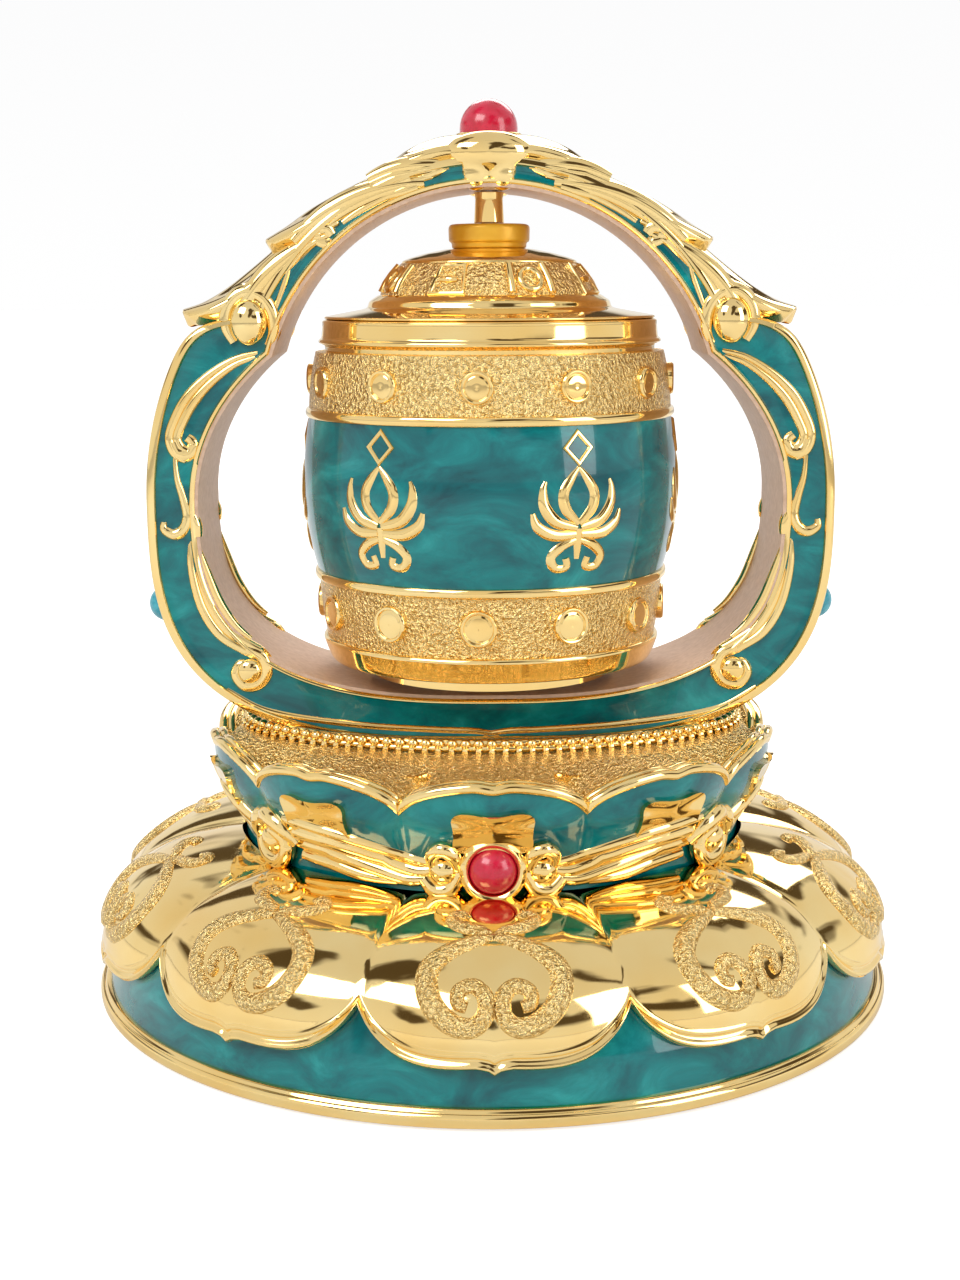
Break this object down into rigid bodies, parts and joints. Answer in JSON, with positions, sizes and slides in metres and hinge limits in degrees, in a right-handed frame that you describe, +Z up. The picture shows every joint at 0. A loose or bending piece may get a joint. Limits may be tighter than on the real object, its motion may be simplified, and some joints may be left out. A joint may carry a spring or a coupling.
{
  "type": "prayer wheel",
  "caption": "Desk prayer wheel: an ornamented drum spins on an upright axle inside a horseshoe arch, on a round lotus foot.",
  "frame": {"origin": "middle of the foot's underside, on the surface it stands on", "axes": "+Z up along the drum's axle, the arch spans X, the front faces -Y"},
  "size_m": [0.096, 0.096, 0.1051],
  "materials": {
    "polished_gold": "mirror polished gold plating",
    "stippled_gold": "stippled gold plating",
    "teal_enamel": "glossy translucent teal enamel",
    "coral_stone": "polished coral red",
    "turquoise": "polished turquoise",
    "satin_gold": "matte pinkish gold",
    "steel": "zinc plated",
    "bushing": "turned bronze",
    "felt": "dense black felt",
    "core_tube": "plain wood",
    "paper": "rolled paper"
  },
  "bodies": {
    "stand": {"base_pad": "felt", "base_plate": "steel", "base_screws": "steel", "plinth_rim": "polished_gold", "plinth_band": "teal_enamel", "lotus_skirt": "polished_gold", "petal_scrolls": "polished_gold", "pedestal_core": "polished_gold", "waist_body": "teal_enamel", "waist_lip": "polished_gold", "waist_deck": "polished_gold", "bead_border": "polished_gold", "waist_plaques": "polished_gold", "girdle_scrolls": "polished_gold", "girdle_bezels": "polished_gold", "girdle_stones": "coral_stone", "arch_frame": "polished_gold", "arch_liner": "satin_gold", "arch_enamel_front": "teal_enamel", "arch_enamel_back": "teal_enamel", "arch_flank_left": "teal_enamel", "arch_flank_right": "teal_enamel", "arch_scrolls_front": "polished_gold", "arch_scrolls_back": "polished_gold", "crown_leaves_left": "polished_gold", "crown_leaves_right": "polished_gold", "crown_boss": "polished_gold", "crown_cup": "polished_gold", "crown_bead": "coral_stone", "side_cups": "polished_gold", "side_beads": "turquoise", "arch_screws": "steel", "axle": "steel", "top_spacer": "polished_gold", "thrust_washer": "bushing"},
    "drum": {"drum_shell": "polished_gold", "drum_collar": "polished_gold", "upper_band": "stippled_gold", "lower_band": "stippled_gold", "upper_studs": "polished_gold", "lower_studs": "polished_gold", "enamel_band": "teal_enamel", "upper_trim": "polished_gold", "lower_trim": "polished_gold", "foot_ring": "polished_gold", "drum_ornaments": "polished_gold", "drum_lozenges": "polished_gold", "drum_cap": "polished_gold", "cap_ornaments": "polished_gold", "cap_hub": "polished_gold", "drum_floor": "polished_gold", "upper_bush": "bushing", "lower_bush": "bushing", "scroll_core": "core_tube", "prayer_scroll": "paper"}
  },
  "joints": [
    {"name": "drum_spin", "type": "hinge", "parent": "stand", "child": "drum", "pos_m": [0, 0, 0.0602], "axis": [0, 0, 1], "continuous": true}
  ]
}
